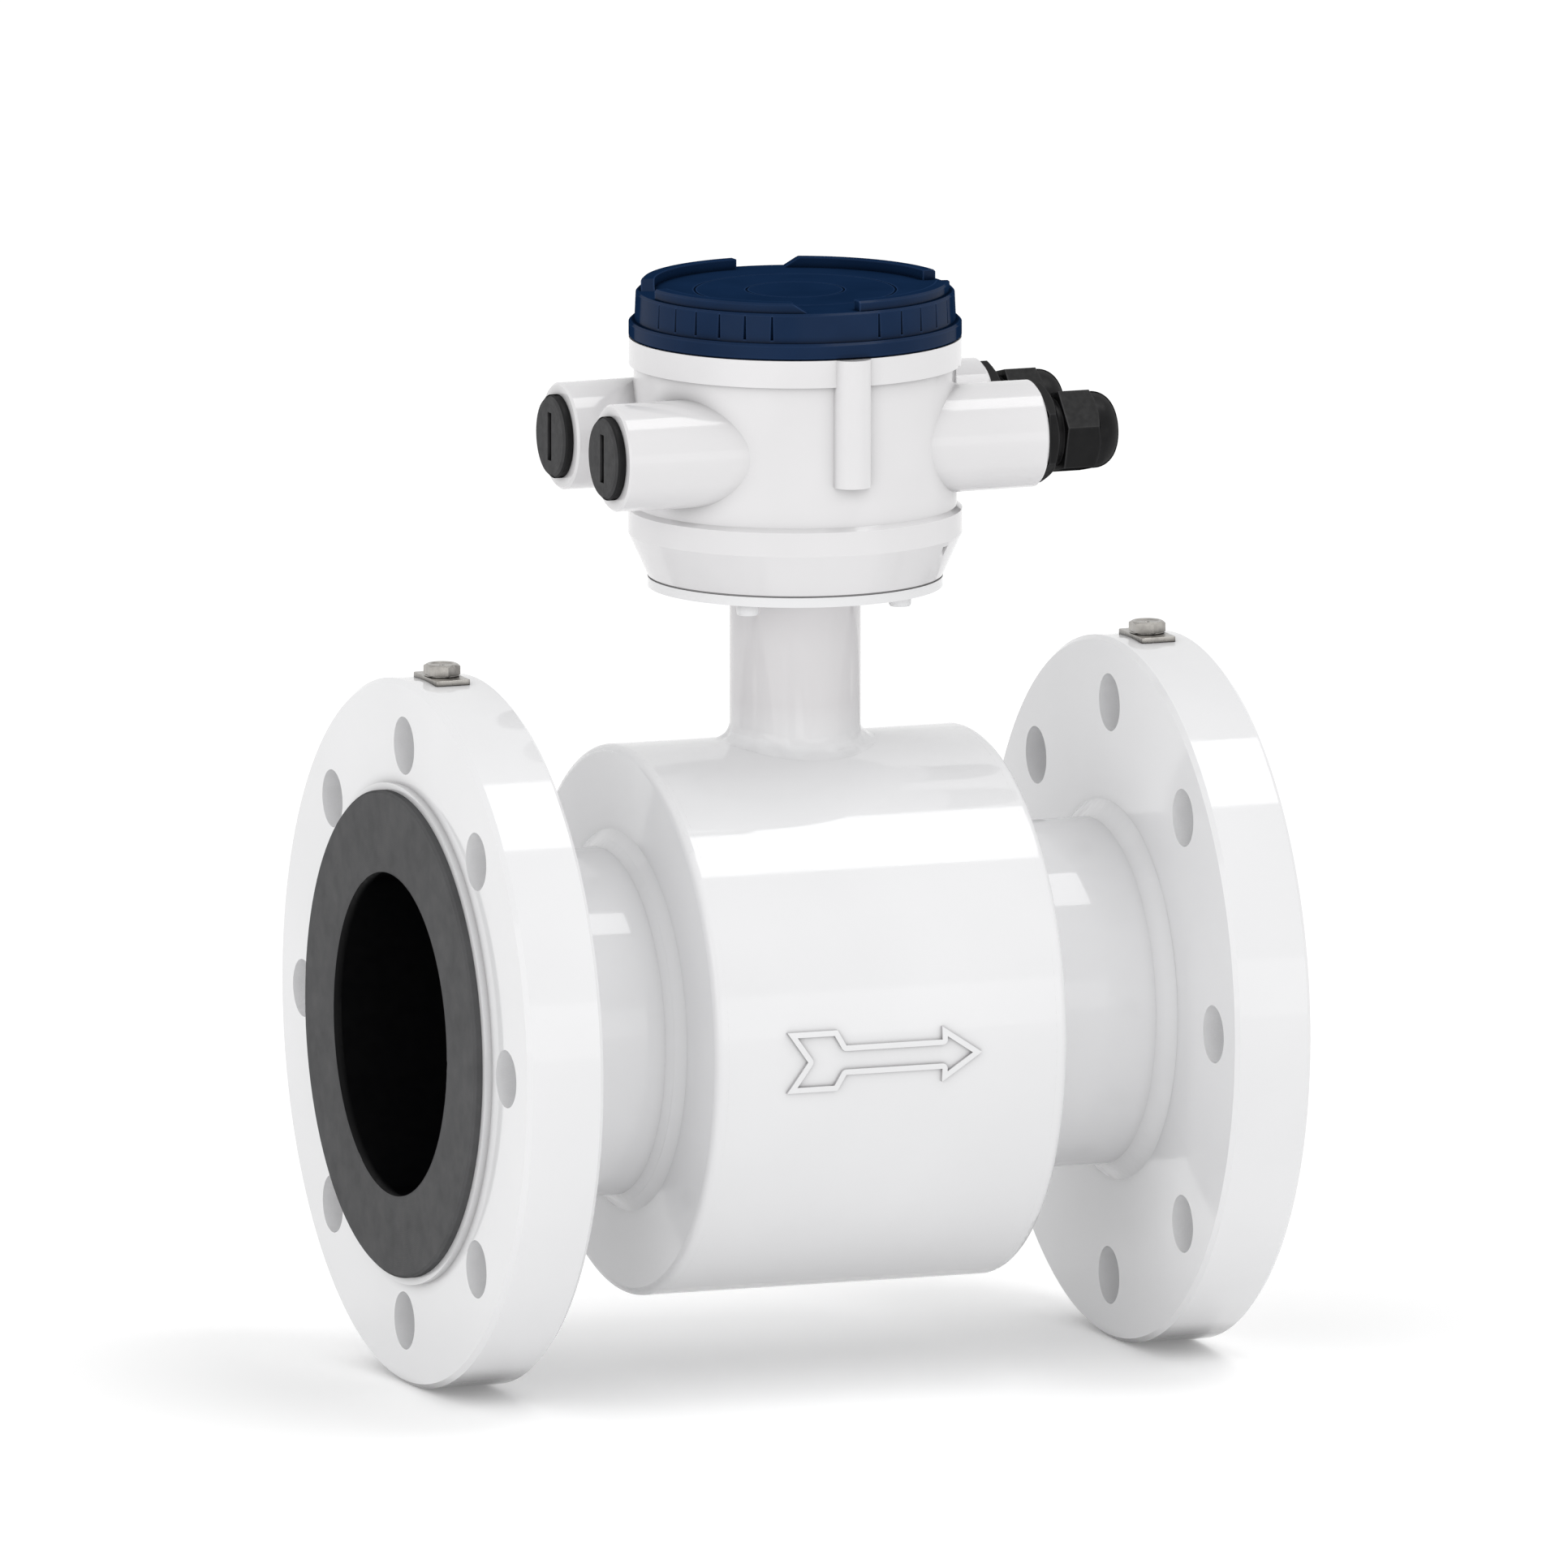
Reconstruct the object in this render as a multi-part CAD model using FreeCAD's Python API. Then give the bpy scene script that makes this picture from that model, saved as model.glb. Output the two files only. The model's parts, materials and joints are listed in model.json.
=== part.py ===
import FreeCAD, Part
import math
import os

# Electromagnetic flow meter for a 100 mm pipe: flanged sensor with a compact converter head.
# Millimetres. +X is the direction of flow, +Z runs up through the converter head, and the
# origin is where the pipe axis crosses the head's axis.

# ---- Driving dimensions: pipe side -------------------------------------------------------
liner_bore = 98.0
liner_wall = 3.0
liner_lip_round = 2.5
tube_wall = 2.0
flange_od = 220.0
flange_thickness = 25.0
flange_face_x = 129.0
flange_edge_chamfer = 1.4
bolt_hole = 18.0
bolt_count = 8
bolt_circle_inset = 20.0
raised_face_to_hole = 3.25
raised_face_height = 2.3
collar_inset = 2.25
collar_thickness = 2.7
collar_edge = 0.8
pipe_weld_leg = 5.2

# ---- Coil housing ------------------------------------------------------------------------
barrel_od = 171.0
barrel_wall = 3.0
barrel_half_length = 58.0
end_plate_thickness = 4.0
end_plate_round = 2.5
arrow_tail_x = -35.0
arrow_length = 64.0
arrow_centre_z = -1.5
arrow_head_length = 13.0
arrow_head_half = 8.7
arrow_shaft_half = 4.6
arrow_tail_half = 9.5
arrow_tail_length = 16.5
arrow_tail_notch = 6.7
arrow_fletch_slant = 2.8
arrow_line = 1.7
arrow_relief = 1.0

# ---- Coils, poles and electrodes inside the coil housing --------------------------------
pole_shoe_thickness = 3.3
pole_shoe_half_length = 32.0
pole_shoe_half_width = 40.0
pole_core_radius = 13.0
coil_radius = 31.0
coil_core_clearance = 0.3
coil_to_band = 1.3
band_thickness = 3.2
band_half_width = 22.0
band_clearance = 0.3
core_screw_radius = 3.0
core_screw_head_radius = 5.2
core_screw_depth = 14.0
electrode_head_radius = 5.8
electrode_head_thickness = 1.4
electrode_stem_radius = 2.4
electrode_tail_length = 8.3
bush_radius = 6.0
bush_flange_width = 2.0
bush_flange_thickness = 2.5
electrode_washer_thickness = 1.2
electrode_nut_flats = 8.0
electrode_nut_height = 4.0
inner_clearance = 0.1

# ---- Neck and base plate ----------------------------------------------------------------
neck_od = 40.6
neck_wall = 3.0
neck_weld_leg = 4.2
base_plate_z = 133.1
base_plate_od = 91.4
base_plate_thickness = 3.0
base_gasket_thickness = 0.6
base_gasket_inset = 0.9
base_screw_inset = 10.2
base_screw_thread = 4.0
base_screw_head = 7.0
base_screw_head_height = 2.6
base_screw_length = 13.0
base_screw_end_gap = 1.0
lead_bundle_od = 8.0
lead_bundle_x = 10.5

# ---- Converter housing ------------------------------------------------------------------
cone_height = 13.1
band_step = 1.65
band_height = 8.7
band_chamfer = 1.2
wall_od = 100.0
wall_height = 44.0
rim_step = 1.5
rim_height = 8.5
head_wall = 3.7
head_floor = 5.2
rim_thread_depth = 10.5
rim_wall = 6.1
post_radius = 4.6
post_height = 8.2
lock_rib_radius = 6.0
lock_rib_inset = 0.7
lock_rib_height = 40.0
lock_screw_thread = 4.0
lock_screw_length = 15.0
entry_spacing = 46.3
entry_height = 43.2
entry_thread = 20.0
entry_boss_wall = 6.6
entry_boss_draft = 0.6
entry_boss_reach = 19.2
entry_boss_chamfer = 0.7
cone_pocket_angle = 315.0
cone_pocket_width = 5.0
cone_pocket_depth = 2.2
cone_pocket_top_gap = 1.5

# ---- Lid --------------------------------------------------------------------------------
lid_flange_height = 5.2
lid_flange_chamfer = 0.7
lid_wall_inset = 1.8
lid_wall_height = 9.1
lid_wall_draft = 0.4
lid_deck_thickness = 3.0
lid_skirt_depth = 10.0
lid_skirt_clearance = 0.3
lid_skirt_wall = 3.1
lug_inset = 2.0
lug_width = 4.2
lug_height = 3.1
lug_chamfer = 0.6
lug_count = 4
notch_edge_angle = 4.0
notch_width_angle = 20.0
notch_ramp_angle = 6.0
grip_first_angle = 7.0
grip_pitch_angle = 10.0
grip_count = 6
grip_depth = 0.8
grip_half_width = 0.6
grip_end_gap = 0.9
deck_groove_radii = (31.1, 15.1)
deck_groove_width = 0.7
deck_groove_depth = 0.4
lid_seal_width = 2.2
lid_seal_height = 2.3
seal_play = 0.1

# ---- Electronics ------------------------------------------------------------------------
module_gap = 10.3
module_height = 15.0
module_chamfer = 1.5
spacer_inset = 6.0
spacer_radius = 3.0
spacer_height = 5.0
spacer_count = 3
board_gap = 6.3
board_thickness = 1.6
board_screw_thread = 3.0
board_screw_head = 5.6
board_screw_head_height = 2.0
board_screw_bite = 5.0
terminal_length = 36.0
terminal_width = 12.0
terminal_height = 12.0
terminal_gap = 16.0
terminal_ways = 5
terminal_well_radius = 2.2
terminal_well_depth = 4.0

# ---- Cable glands and blanking plugs ----------------------------------------------------
thread_play = 0.1
spigot_length = 12.0
gland_washer_thickness = 0.8
gland_washer_inset = 0.3
gland_hex_flats = 27.0
gland_hex_chamfer = 0.6
gland_hex_height = 3.6
gland_neck_step = 0.6
gland_neck_height = 2.8
gland_thread_height = 9.3
gland_bore_wall = 2.6
insert_seat_width = 1.0
insert_wall = 2.1
insert_seat_height = 5.0
insert_length = 12.0
insert_nose_length = 2.0
insert_play = 0.05
clamp_ring_height = 2.8
clamp_ring_taper = 1.45
nut_hex_flats = 24.0
nut_hex_height = 11.3
nut_chamfer = 0.55
nut_dome_inset = 0.1
nut_dome_height = 7.7
nut_dome_round = 6.2
nut_aperture_margin = 0.7
nut_turn_angle = 17.0
plug_head_od = 26.0
plug_head_height = 3.0
plug_head_gap = 0.2
plug_head_chamfer = 1.2
plug_slot_length = 15.0
plug_slot_width = 3.2
plug_slot_depth = 2.0
plug_seal_gap = 0.5
plug_seal_width = 1.6
plug_seal_height = 1.35

# ---- Earthing bolts on the flanges ------------------------------------------------------
earth_flat_depth = 0.5
earth_flat_margin = 0.3
earth_plate_length = 20.0
earth_plate_width = 10.4
earth_plate_thickness = 1.8
earth_plate_round = 2.5
earth_washer_od = 10.8
earth_washer_thickness = 1.5
earth_washer_slit = 1.2
earth_bolt_thread = 6.0
earth_bolt_flats = 10.0
earth_bolt_head_height = 4.2
earth_bolt_chamfer = 0.5
earth_hole_floor = 2.5
earth_bolt_end_gap = 1.0

# ---- Worked-out places ------------------------------------------------------------------
bore_r = liner_bore / 2
tube_inner_r = bore_r + liner_wall
tube_outer_r = tube_inner_r + tube_wall
flange_r = flange_od / 2
bolt_circle_r = flange_r - bolt_circle_inset
raised_face_r = bolt_circle_r - bolt_hole / 2 - raised_face_to_hole
collar_r = raised_face_r - collar_inset
flange_back_x = flange_face_x - flange_thickness
collar_back_x = flange_face_x + raised_face_height
end_x = collar_back_x + collar_thickness
barrel_r = barrel_od / 2
barrel_inner_r = barrel_r - barrel_wall
band_r = barrel_inner_r - band_clearance
band_inner_r = band_r - band_thickness
shoe_r = tube_outer_r + pole_shoe_thickness
bush_top_z = tube_outer_r + bush_flange_thickness
electrode_nut_z = bush_top_z + electrode_washer_thickness
coil_top_z = math.sqrt((band_inner_r - coil_to_band) ** 2 - coil_radius ** 2)
neck_r = neck_od / 2
neck_inner_r = neck_r - neck_wall
plate_r = base_plate_od / 2
base_screw_r = plate_r - base_screw_inset
plate_top_z = base_plate_z + base_plate_thickness
foot_z = plate_top_z + base_gasket_thickness
band_bottom_z = foot_z + cone_height
band_top_z = band_bottom_z + band_height
rim_bottom_z = band_top_z + wall_height
rim_top_z = rim_bottom_z + rim_height
floor_z = foot_z + head_floor
post_top_z = floor_z + post_height
wall_r = wall_od / 2
head_inner_r = wall_r - head_wall
head_floor_r = plate_r - head_wall
band_outer_r = wall_r + band_step
rim_r = wall_r + rim_step
rim_bore_r = rim_r - rim_wall
lock_rib_y = lock_rib_inset - wall_r
entry_z = foot_z + entry_height
lid_flange_top_z = rim_top_z + lid_flange_height
deck_z = lid_flange_top_z + lid_wall_height
lug_top_z = deck_z + lug_height
skirt_r = rim_bore_r - lid_skirt_clearance
lid_bore_r = skirt_r - lid_skirt_wall
lid_wall_r = rim_r - lid_wall_inset
lug_outer_r = lid_wall_r - lug_inset
lug_inner_r = lug_outer_r - lug_width
module_r = head_inner_r - module_gap
board_r = head_inner_r - board_gap
spacer_circle_r = module_r - spacer_inset
module_top_z = post_top_z + module_height
board_z = module_top_z + spacer_height
board_top_z = board_z + board_thickness
entry_thread_r = entry_thread / 2
entry_boss_r = entry_thread_r + entry_boss_wall
entry_face_x = wall_r + entry_boss_reach
gland_bore_r = entry_thread_r - gland_bore_wall
insert_r = gland_bore_r + insert_seat_width
insert_bore_r = insert_r - insert_wall
earth_x = flange_face_x - flange_thickness / 2
earth_z = flange_r - earth_flat_depth
earth_hole_end_z = bolt_circle_r + bolt_hole / 2 + earth_hole_floor

Vector = FreeCAD.Vector
X = Vector(1, 0, 0)
Y = Vector(0, 1, 0)
Z = Vector(0, 0, 1)
ORIGIN = Vector(0, 0, 0)


# ---- Shape helpers ----------------------------------------------------------------------
def corner_arc(before, corner, after, radius):
    """The start, middle and end of the arc that rounds a corner."""
    back = (before - corner).normalize()
    onward = (after - corner).normalize()
    half = back.getAngle(onward) / 2
    reach = radius / math.tan(half)
    inward = (back + onward).normalize() * (radius / math.sin(half) - radius)
    return corner + back * reach, corner + inward, corner + onward * reach


def face_of(points, place):
    """A face with straight and rounded corners: points are (a, b) or (a, b, corner radius)."""
    corners = [place(point[0], point[1]) for point in points]
    edges = []
    ends = []
    for index, point in enumerate(points):
        corner = corners[index]
        if len(point) == 3:
            start, middle, end = corner_arc(corners[index - 1], corner,
                                            corners[(index + 1) % len(corners)], point[2])
            edges.append(Part.Arc(start, middle, end).toShape())
            ends.append((start, end))
        else:
            ends.append((corner, corner))
    for index in range(len(ends)):
        start = ends[index][1]
        end = ends[(index + 1) % len(ends)][0]
        edges.append(Part.LineSegment(start, end).toShape())
    return Part.Face(Part.Wire(Part.__sortEdges__(edges)))


def turned_x(points):
    """A solid turned about X from (x, radius) points."""
    return face_of(points, lambda x, r: Vector(x, 0, r)).revolve(ORIGIN, X, 360)


def turned_z(points):
    """A solid turned about Z from (z, radius) points."""
    return face_of(points, lambda z, r: Vector(r, 0, z)).revolve(ORIGIN, Z, 360)


def rod(radius, start, end):
    span = end - start
    return Part.makeCylinder(radius, span.Length, start, span)


def rod_x(radius, start, end):
    return rod(radius, X * start, X * end)


def rod_z(radius, start, end, x=0.0, y=0.0):
    return rod(radius, Vector(x, y, start), Vector(x, y, end))


def ring_z(outer, inner, start, end):
    return rod_z(outer, start, end).cut(rod_z(inner, start, end))


def block(low, high):
    size = high - low
    return Part.makeBox(size.x, size.y, size.z, low)


def polar(radius, angle, z=0.0):
    turn = math.radians(angle)
    return Vector(radius * math.cos(turn), radius * math.sin(turn), z)


def prism(points, start, end):
    """A solid with the plan (x, y) points between two heights."""
    face = face_of(points, lambda x, y: Vector(x, y, start))
    return face.extrude(Z * (end - start))


def hexagon(flats, start, end, turn=0.0, chamfer=0.0):
    """A hexagonal prism along Z; a chamfer turns the far corners down."""
    corners = [polar(flats / math.sqrt(3), turn + 60 * side) for side in range(6)]
    solid = prism([(corner.x, corner.y) for corner in corners], start, end)
    if chamfer:
        tip = flats / 2 - chamfer / 3
        reach = flats
        envelope = turned_z([(start, 0), (start, reach), (end - chamfer * (reach - tip), reach),
                             (end, tip), (end, 0)])
        solid = solid.common(envelope)
    return solid


def placed(shape, origin, direction):
    """A shape drawn along +Z from the origin, moved so that it starts at origin along direction."""
    moved = shape.copy()
    moved.Placement = FreeCAD.Placement(origin, FreeCAD.Rotation(Z, direction))
    return moved


def mirrored_x(shape):
    return shape.mirror(ORIGIN, X)


# ---- Pipe side --------------------------------------------------------------------------
def outlet_flange():
    chamfer = flange_edge_chamfer
    flange = turned_x([
        (flange_back_x - pipe_weld_leg, tube_outer_r),
        (flange_back_x, tube_outer_r + pipe_weld_leg),
        (flange_back_x, flange_r - chamfer),
        (flange_back_x + chamfer, flange_r),
        (flange_face_x - chamfer, flange_r),
        (flange_face_x, flange_r - chamfer),
        (flange_face_x, raised_face_r),
        (collar_back_x, raised_face_r),
        (collar_back_x, tube_outer_r)])
    holes = []
    for index in range(bolt_count):
        centre = polar(bolt_circle_r, index * 360 / bolt_count)
        start = Vector(flange_back_x, centre.x, centre.y)
        holes.append(rod(bolt_hole / 2, start, start + X * flange_thickness))
    holes.append(rod_z(earth_bolt_thread / 2, earth_hole_end_z, flange_r, earth_x))
    half_length = earth_plate_length / 2 + earth_flat_margin
    half_width = earth_plate_width / 2 + earth_flat_margin
    holes.append(block(Vector(earth_x - half_width, -half_length, earth_z),
                       Vector(earth_x + half_width, half_length, flange_r)))
    return flange.cut(holes)


def electrode_holes(radius, start, end):
    return [rod(radius, Y * (side * start), Y * (side * end)) for side in (-1, 1)]


def measuring_tube():
    outer = rod_x(tube_outer_r, -collar_back_x, collar_back_x)
    inner = rod_x(tube_inner_r, -collar_back_x, collar_back_x)
    holes = electrode_holes(bush_radius, bore_r, shoe_r)
    return outer.cut([inner] + holes)


def liner():
    body = turned_x([
        (-end_x, bore_r, liner_lip_round),
        (-end_x, collar_r - collar_edge),
        (-end_x + collar_edge, collar_r),
        (-collar_back_x, collar_r),
        (-collar_back_x, tube_inner_r),
        (collar_back_x, tube_inner_r),
        (collar_back_x, collar_r),
        (end_x - collar_edge, collar_r),
        (end_x, collar_r - collar_edge),
        (end_x, bore_r, liner_lip_round)])
    seats = electrode_holes(electrode_head_radius + inner_clearance,
                            bore_r - electrode_head_thickness, bore_r + electrode_head_thickness)
    holes = electrode_holes(electrode_stem_radius + inner_clearance, bore_r, tube_outer_r)
    return body.cut(seats + holes)


# ---- Coil housing -----------------------------------------------------------------------
def arrow_plan():
    """Half outline of the flow arrow from tail to tip, as (distance from the tail, half height)."""
    head_x = arrow_length - arrow_head_length
    return [(arrow_tail_notch, 0.0),
            (0.0, arrow_tail_half),
            (arrow_tail_length, arrow_tail_half),
            (arrow_tail_length + arrow_fletch_slant, arrow_shaft_half),
            (head_x, arrow_shaft_half),
            (head_x, arrow_head_half),
            (arrow_length, 0.0)]


def flow_arrow():
    """The raised outline of an arrow on the housing's front."""
    half = arrow_plan()
    points = half + [(along, -up) for along, up in reversed(half[1:-1])]
    corners = [Vector(arrow_tail_x + along, 0, arrow_centre_z + up) for along, up in points]
    outer = Part.Face(Part.makePolygon(corners + corners[:1]))
    line = outer.cut(outer.makeOffset2D(-arrow_line))
    raised = line.extrude(Y * -barrel_od)
    return raised.common(rod_x(barrel_r + arrow_relief, -barrel_half_length, barrel_half_length))


def housing_barrel():
    half = barrel_half_length - end_plate_thickness
    solid = rod_x(barrel_r, -half, half).fuse(flow_arrow())
    wire_hole = rod_z(neck_inner_r, 0, barrel_od)
    return solid.cut([rod_x(barrel_inner_r, -half, half), wire_hole])


def outlet_end_plate():
    inside_x = barrel_half_length - end_plate_thickness
    return turned_x([
        (inside_x, tube_outer_r),
        (inside_x, barrel_r),
        (barrel_half_length, barrel_r, end_plate_round),
        (barrel_half_length, tube_outer_r + pipe_weld_leg),
        (barrel_half_length + pipe_weld_leg, tube_outer_r)])


def upper_pole_shoe():
    """A saddle on the tube with a round core that reaches the return band."""
    length = pole_shoe_half_length
    saddle = rod_x(shoe_r, -length, length).cut(rod_x(tube_outer_r, -length, length))
    saddle = saddle.common(block(Vector(-length, -pole_shoe_half_width, 0),
                                 Vector(length, pole_shoe_half_width, barrel_r)))
    core = rod_z(pole_core_radius, tube_outer_r, barrel_r)
    core = core.common(rod_x(band_inner_r, -length, length)).cut(rod_x(tube_outer_r, -length, length))
    screw_hole = rod_z(core_screw_radius, band_r - core_screw_depth, band_r)
    return saddle.fuse(core).removeSplitter().cut(screw_hole)


def upper_coil():
    return ring_z(coil_radius, pole_core_radius + coil_core_clearance, shoe_r, coil_top_z)


def core_screw():
    shank = rod_z(core_screw_radius, band_r - core_screw_depth, band_r)
    head_height = core_screw_head_radius - core_screw_radius
    head = Part.makeCone(core_screw_radius, core_screw_head_radius, head_height,
                         Z * (band_r - head_height))
    return shank.fuse(head)


def return_band():
    """The ring that carries the field back round the outside of the coils."""
    half = band_half_width
    ring = rod_x(band_r, -half, half).cut(rod_x(band_inner_r, -half, half))
    return ring.cut([core_screw(), flipped(core_screw())])


def flipped(shape):
    """The lower copy of a piece drawn above the pipe."""
    return shape.mirror(ORIGIN, Z)


def electrode():
    """A measuring electrode on the +Y side, with its head flush in the liner."""
    head = rod_z(electrode_head_radius, bore_r, bore_r + electrode_head_thickness)
    stem_end = electrode_nut_z + electrode_nut_height + electrode_tail_length
    stem = rod_z(electrode_stem_radius, bore_r, stem_end)
    return placed(head.fuse(stem), ORIGIN, Y)


def electrode_bush():
    shank = rod_z(bush_radius, tube_inner_r, tube_outer_r)
    flange = rod_z(bush_radius + bush_flange_width, tube_outer_r, bush_top_z)
    stem_hole = rod_z(electrode_stem_radius + inner_clearance, bore_r, bush_top_z)
    return placed(shank.fuse(flange).cut(stem_hole), ORIGIN, Y)


def electrode_washer():
    return placed(ring_z(bush_radius, electrode_stem_radius + inner_clearance,
                         bush_top_z, electrode_nut_z), ORIGIN, Y)


def electrode_nut():
    end = electrode_nut_z + electrode_nut_height
    nut = hexagon(electrode_nut_flats, electrode_nut_z, end)
    hole = rod_z(electrode_stem_radius + inner_clearance / 2, electrode_nut_z, end)
    return placed(nut.cut(hole), ORIGIN, Y)


def pair_across(shape):
    """A piece and its copy on the other side of the pipe, in one node."""
    return Part.makeCompound([shape, shape.mirror(ORIGIN, Y)])


# ---- Neck, base plate and base screws ---------------------------------------------------
def neck_tube():
    """The neck with its weld, seated on the round back of the coil housing."""
    weld_top = barrel_r + neck_weld_leg
    weld_bottom = barrel_r - 2 * neck_weld_leg
    weld = Part.makeCone(neck_r + weld_top - weld_bottom, neck_r, weld_top - weld_bottom,
                         Z * weld_bottom)
    outside = rod_z(neck_r, weld_bottom, base_plate_z).fuse(weld)
    return outside.cut([rod_z(neck_inner_r, 0, base_plate_z), rod_x(barrel_r, -barrel_r, barrel_r)])


def base_screw_places():
    return [polar(base_screw_r, 45 + 90 * index) for index in range(4)]


def screw_holes(radius, start, end):
    return [rod_z(radius, start, end, place.x, place.y) for place in base_screw_places()]


def base_plate():
    plate = ring_z(plate_r, neck_inner_r, base_plate_z, plate_top_z)
    return plate.cut(screw_holes(base_screw_thread / 2 + thread_play, base_plate_z, plate_top_z))


def base_gasket():
    gasket = ring_z(plate_r - base_gasket_inset, neck_inner_r, plate_top_z, foot_z)
    return gasket.cut(screw_holes(base_screw_thread / 2 + thread_play, plate_top_z, foot_z))


def base_screws():
    screws = []
    for place in base_screw_places():
        head = rod_z(base_screw_head / 2, base_plate_z - base_screw_head_height, base_plate_z,
                     place.x, place.y)
        shank = rod_z(base_screw_thread / 2, base_plate_z, base_plate_z + base_screw_length,
                      place.x, place.y)
        screws.append(head.fuse(shank))
    return Part.makeCompound(screws)


def lead_bundle():
    """The electrode and coil leads, gathered in one sleeve up through the neck."""
    return rod_z(lead_bundle_od / 2, band_r, post_top_z, lead_bundle_x)


# ---- Converter housing ------------------------------------------------------------------
def head_outside():
    return turned_z([
        (foot_z, 0),
        (foot_z, plate_r),
        (band_bottom_z, band_outer_r),
        (band_top_z - band_chamfer, band_outer_r),
        (band_top_z, wall_r),
        (rim_bottom_z, wall_r),
        (rim_bottom_z, rim_r),
        (rim_top_z, rim_r),
        (rim_top_z, 0)])


def head_inside():
    thread_z = rim_top_z - rim_thread_depth
    return turned_z([
        (floor_z, 0),
        (floor_z, head_floor_r),
        (band_bottom_z, head_inner_r),
        (thread_z, head_inner_r),
        (thread_z, rim_bore_r),
        (rim_top_z, rim_bore_r),
        (rim_top_z, 0)])


def entry_places():
    """Each cable entry's centre on its boss face, and the way it faces."""
    places = {}
    for end, side in (("inlet", -1), ("outlet", 1)):
        for place, y in (("front", -entry_spacing / 2), ("rear", entry_spacing / 2)):
            places[end, place] = (Vector(side * entry_face_x, y, entry_z), X * side)
    return places


def entry_boss():
    """A slightly tapered boss drawn from the head's middle plane out to its face."""
    straight = entry_face_x - entry_boss_chamfer
    return turned_z([(0, 0), (0, entry_boss_r + entry_boss_draft), (straight, entry_boss_r),
                     (entry_face_x, entry_boss_r - entry_boss_chamfer), (entry_face_x, 0)])


def converter_housing():
    bosses = []
    bores = []
    for centre, facing in entry_places().values():
        middle = Vector(0, centre.y, centre.z)
        bosses.append(placed(entry_boss(), middle, facing))
        bores.append(rod(entry_thread_r, middle, centre))
    rib = rod_z(lock_rib_radius, rim_top_z - lock_rib_height, rim_top_z, 0, lock_rib_y)
    shell = head_outside().fuse(bosses + [rib]).cut(head_inside())
    posts = [rod_z(post_radius, floor_z, post_top_z, place.x, place.y)
             for place in base_screw_places()]
    shell = shell.fuse(posts).removeSplitter()
    lead_hole = rod_z(neck_inner_r, foot_z, floor_z)
    lock_hole = rod_z(lock_screw_thread / 2, rim_top_z - lock_rib_height, rim_top_z,
                      0, lock_rib_y)
    threads = screw_holes(base_screw_thread / 2, foot_z, base_plate_z + base_screw_length + base_screw_end_gap)
    return shell.cut(bores + threads + [lead_hole, lock_hole, cone_pocket()])


def cone_pocket():
    """A small tapered pocket in the housing's lower cone."""
    floor_r = band_outer_r - cone_pocket_depth
    half = cone_pocket_width / 2
    top = band_bottom_z - cone_pocket_top_gap
    bottom = foot_z + cone_height / 2
    pocket = prism([(floor_r, -half / 2), (rim_r + band_step, -half), (rim_r + band_step, half),
                    (floor_r, half / 2)], bottom, top)
    pocket.rotate(ORIGIN, Z, cone_pocket_angle)
    return pocket


def lock_screw():
    top = rim_top_z - seal_play
    return rod_z(lock_screw_thread / 2 - thread_play / 2, top - lock_screw_length, top,
                 0, lock_rib_y)


# ---- Electronics ------------------------------------------------------------------------
def spacer_places():
    return [polar(spacer_circle_r, 90 + index * 360 / spacer_count)
            for index in range(spacer_count)]


def board_holes(radius, start, end):
    return [rod_z(radius, start, end, place.x, place.y) for place in spacer_places()]


def electronics_module():
    body = turned_z([(post_top_z, 0), (post_top_z, module_r),
                     (module_top_z - module_chamfer, module_r),
                     (module_top_z, module_r - module_chamfer), (module_top_z, 0)])
    return body.cut(board_holes(board_screw_thread / 2, module_top_z - board_screw_bite, module_top_z))


def board_spacers():
    hole = board_screw_thread / 2 + thread_play
    spacers = []
    for place in spacer_places():
        outer = rod_z(spacer_radius, module_top_z, board_z, place.x, place.y)
        spacers.append(outer.cut(rod_z(hole, module_top_z, board_z, place.x, place.y)))
    return Part.makeCompound(spacers)


def terminal_board():
    return rod_z(board_r, board_z, board_top_z).cut(
        board_holes(board_screw_thread / 2 + thread_play, board_z, board_top_z))


def board_screws():
    screws = []
    for place in spacer_places():
        shank = rod_z(board_screw_thread / 2, module_top_z - board_screw_bite, board_top_z,
                      place.x, place.y)
        head = rod_z(board_screw_head / 2, board_top_z, board_top_z + board_screw_head_height,
                     place.x, place.y)
        screws.append(shank.fuse(head))
    return Part.makeCompound(screws)


def terminal_block(side):
    """A row of screw terminals; side is -1 in front of the middle and 1 behind it."""
    near = terminal_gap / 2
    low_y = min(side * near, side * (near + terminal_width))
    top = board_top_z + terminal_height
    body = block(Vector(-terminal_length / 2, low_y, board_top_z),
                 Vector(terminal_length / 2, low_y + terminal_width, top))
    pitch = terminal_length / terminal_ways
    wells = []
    for way in range(terminal_ways):
        x = -terminal_length / 2 + pitch * (way + 0.5)
        wells.append(rod_z(terminal_well_radius, top - terminal_well_depth, top,
                           x, low_y + terminal_width / 2))
    return body.cut(wells)


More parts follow.
